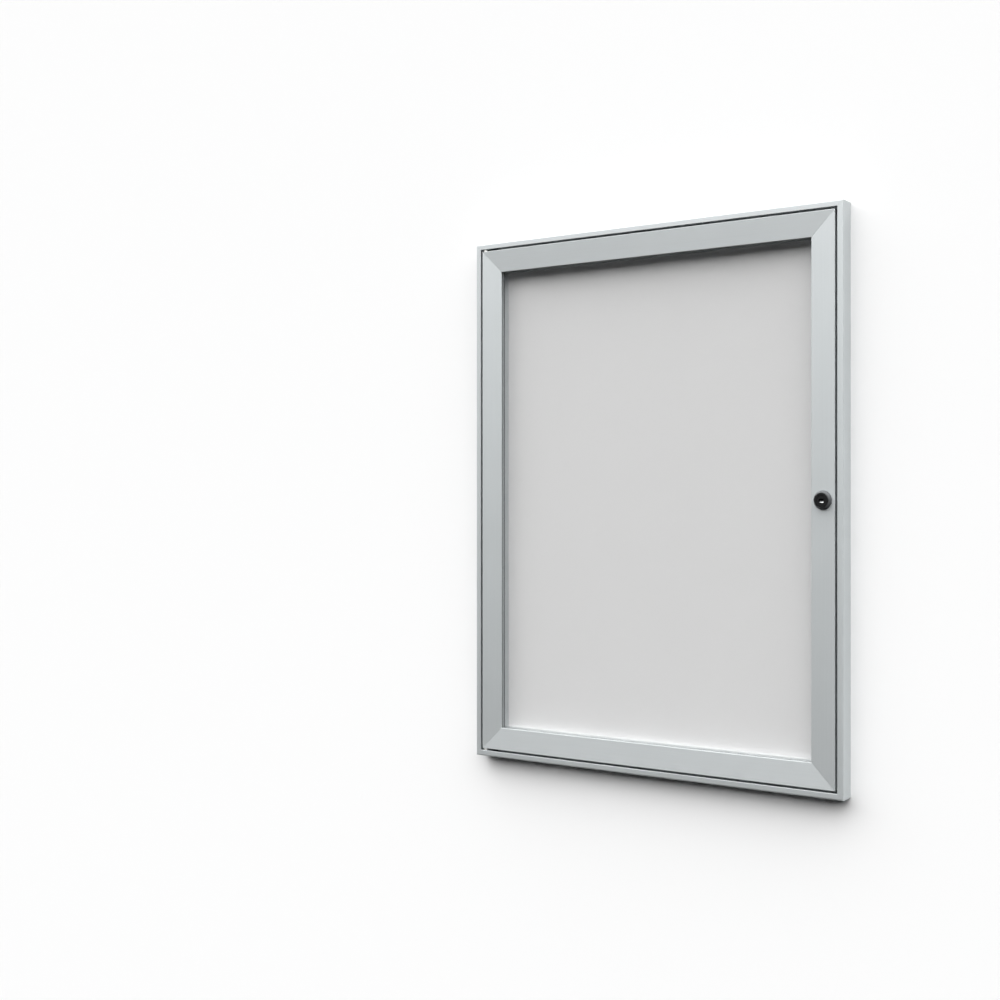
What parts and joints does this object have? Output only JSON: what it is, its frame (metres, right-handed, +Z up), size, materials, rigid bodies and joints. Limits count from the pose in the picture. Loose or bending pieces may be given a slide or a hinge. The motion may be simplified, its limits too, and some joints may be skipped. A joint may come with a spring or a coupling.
{
  "type": "lockable notice board",
  "caption": "Flat lockable wall notice board: mitred aluminium case with white back panel, and a glazed door on pivot pins with a cam lock.",
  "frame": {"origin": "on the wall plane, in the middle of the top rail's flat rear face, 19.25 mm below the case's top edge", "axes": "+X right along the wall seen from the front, +Y into the wall (the board's front faces -Y), +Z up"},
  "size_m": [0.502, 0.0278, 0.672],
  "materials": {
    "anodised_aluminium": "silver anodised, satin",
    "white_lacquered_steel": "white lacquer, satin",
    "clear_acrylic": "clear, polished",
    "black_rubber": "matt",
    "cast_zinc": "as cast",
    "bright_steel": "zinc plated",
    "white_nylon": "moulded",
    "black_coated_zinc": "black, satin"
  },
  "bodies": {
    "case": {"case_top_rail": "anodised_aluminium", "case_bottom_rail": "anodised_aluminium", "case_hinge_stile": "anodised_aluminium", "case_lock_stile": "anodised_aluminium", "case_corner_key_top_hinge": "cast_zinc", "case_corner_key_top_lock": "cast_zinc", "case_corner_key_bottom_hinge": "cast_zinc", "case_corner_key_bottom_lock": "cast_zinc", "back_panel": "white_lacquered_steel", "upper_pivot_block": "cast_zinc", "lower_pivot_block": "cast_zinc", "upper_pivot_pin": "bright_steel", "lower_pivot_pin": "bright_steel", "upper_pivot_block_screw": "bright_steel", "lower_pivot_block_screw": "bright_steel"},
    "door": {"door_top_rail": "anodised_aluminium", "door_bottom_rail": "anodised_aluminium", "door_hinge_stile": "anodised_aluminium", "door_lock_stile": "anodised_aluminium", "door_corner_key_top_hinge": "cast_zinc", "door_corner_key_top_lock": "cast_zinc", "door_corner_key_bottom_hinge": "cast_zinc", "door_corner_key_bottom_lock": "cast_zinc", "glazing_pane": "clear_acrylic", "glazing_gasket_top": "black_rubber", "glazing_gasket_bottom": "black_rubber", "glazing_gasket_hinge": "black_rubber", "glazing_gasket_lock": "black_rubber", "glazing_bead_top": "anodised_aluminium", "glazing_bead_bottom": "anodised_aluminium", "glazing_bead_hinge": "anodised_aluminium", "glazing_bead_lock": "anodised_aluminium", "door_seal_top": "black_rubber", "door_seal_bottom": "black_rubber", "door_seal_hinge": "black_rubber", "door_seal_lock": "black_rubber", "upper_pivot_bush": "white_nylon", "lower_pivot_bush": "white_nylon", "lock_body": "black_coated_zinc", "lock_nut": "bright_steel"},
    "lock_plug": {"lock_plug": "black_coated_zinc", "keyway_shutter": "bright_steel", "lock_cam": "bright_steel", "cam_screw": "bright_steel"}
  },
  "joints": [
    {"name": "door_hinge", "type": "hinge", "parent": "case", "child": "door", "pos_m": [-0.2368, -0.0184, -0.31675], "axis": [0, 0, -1], "range_deg": [0, 115]},
    {"name": "lock_turn", "type": "hinge", "parent": "door", "child": "lock_plug", "pos_m": [0.2269, -0.0184, -0.31675], "axis": [0, -1, 0], "range_deg": [0, 90]}
  ]
}
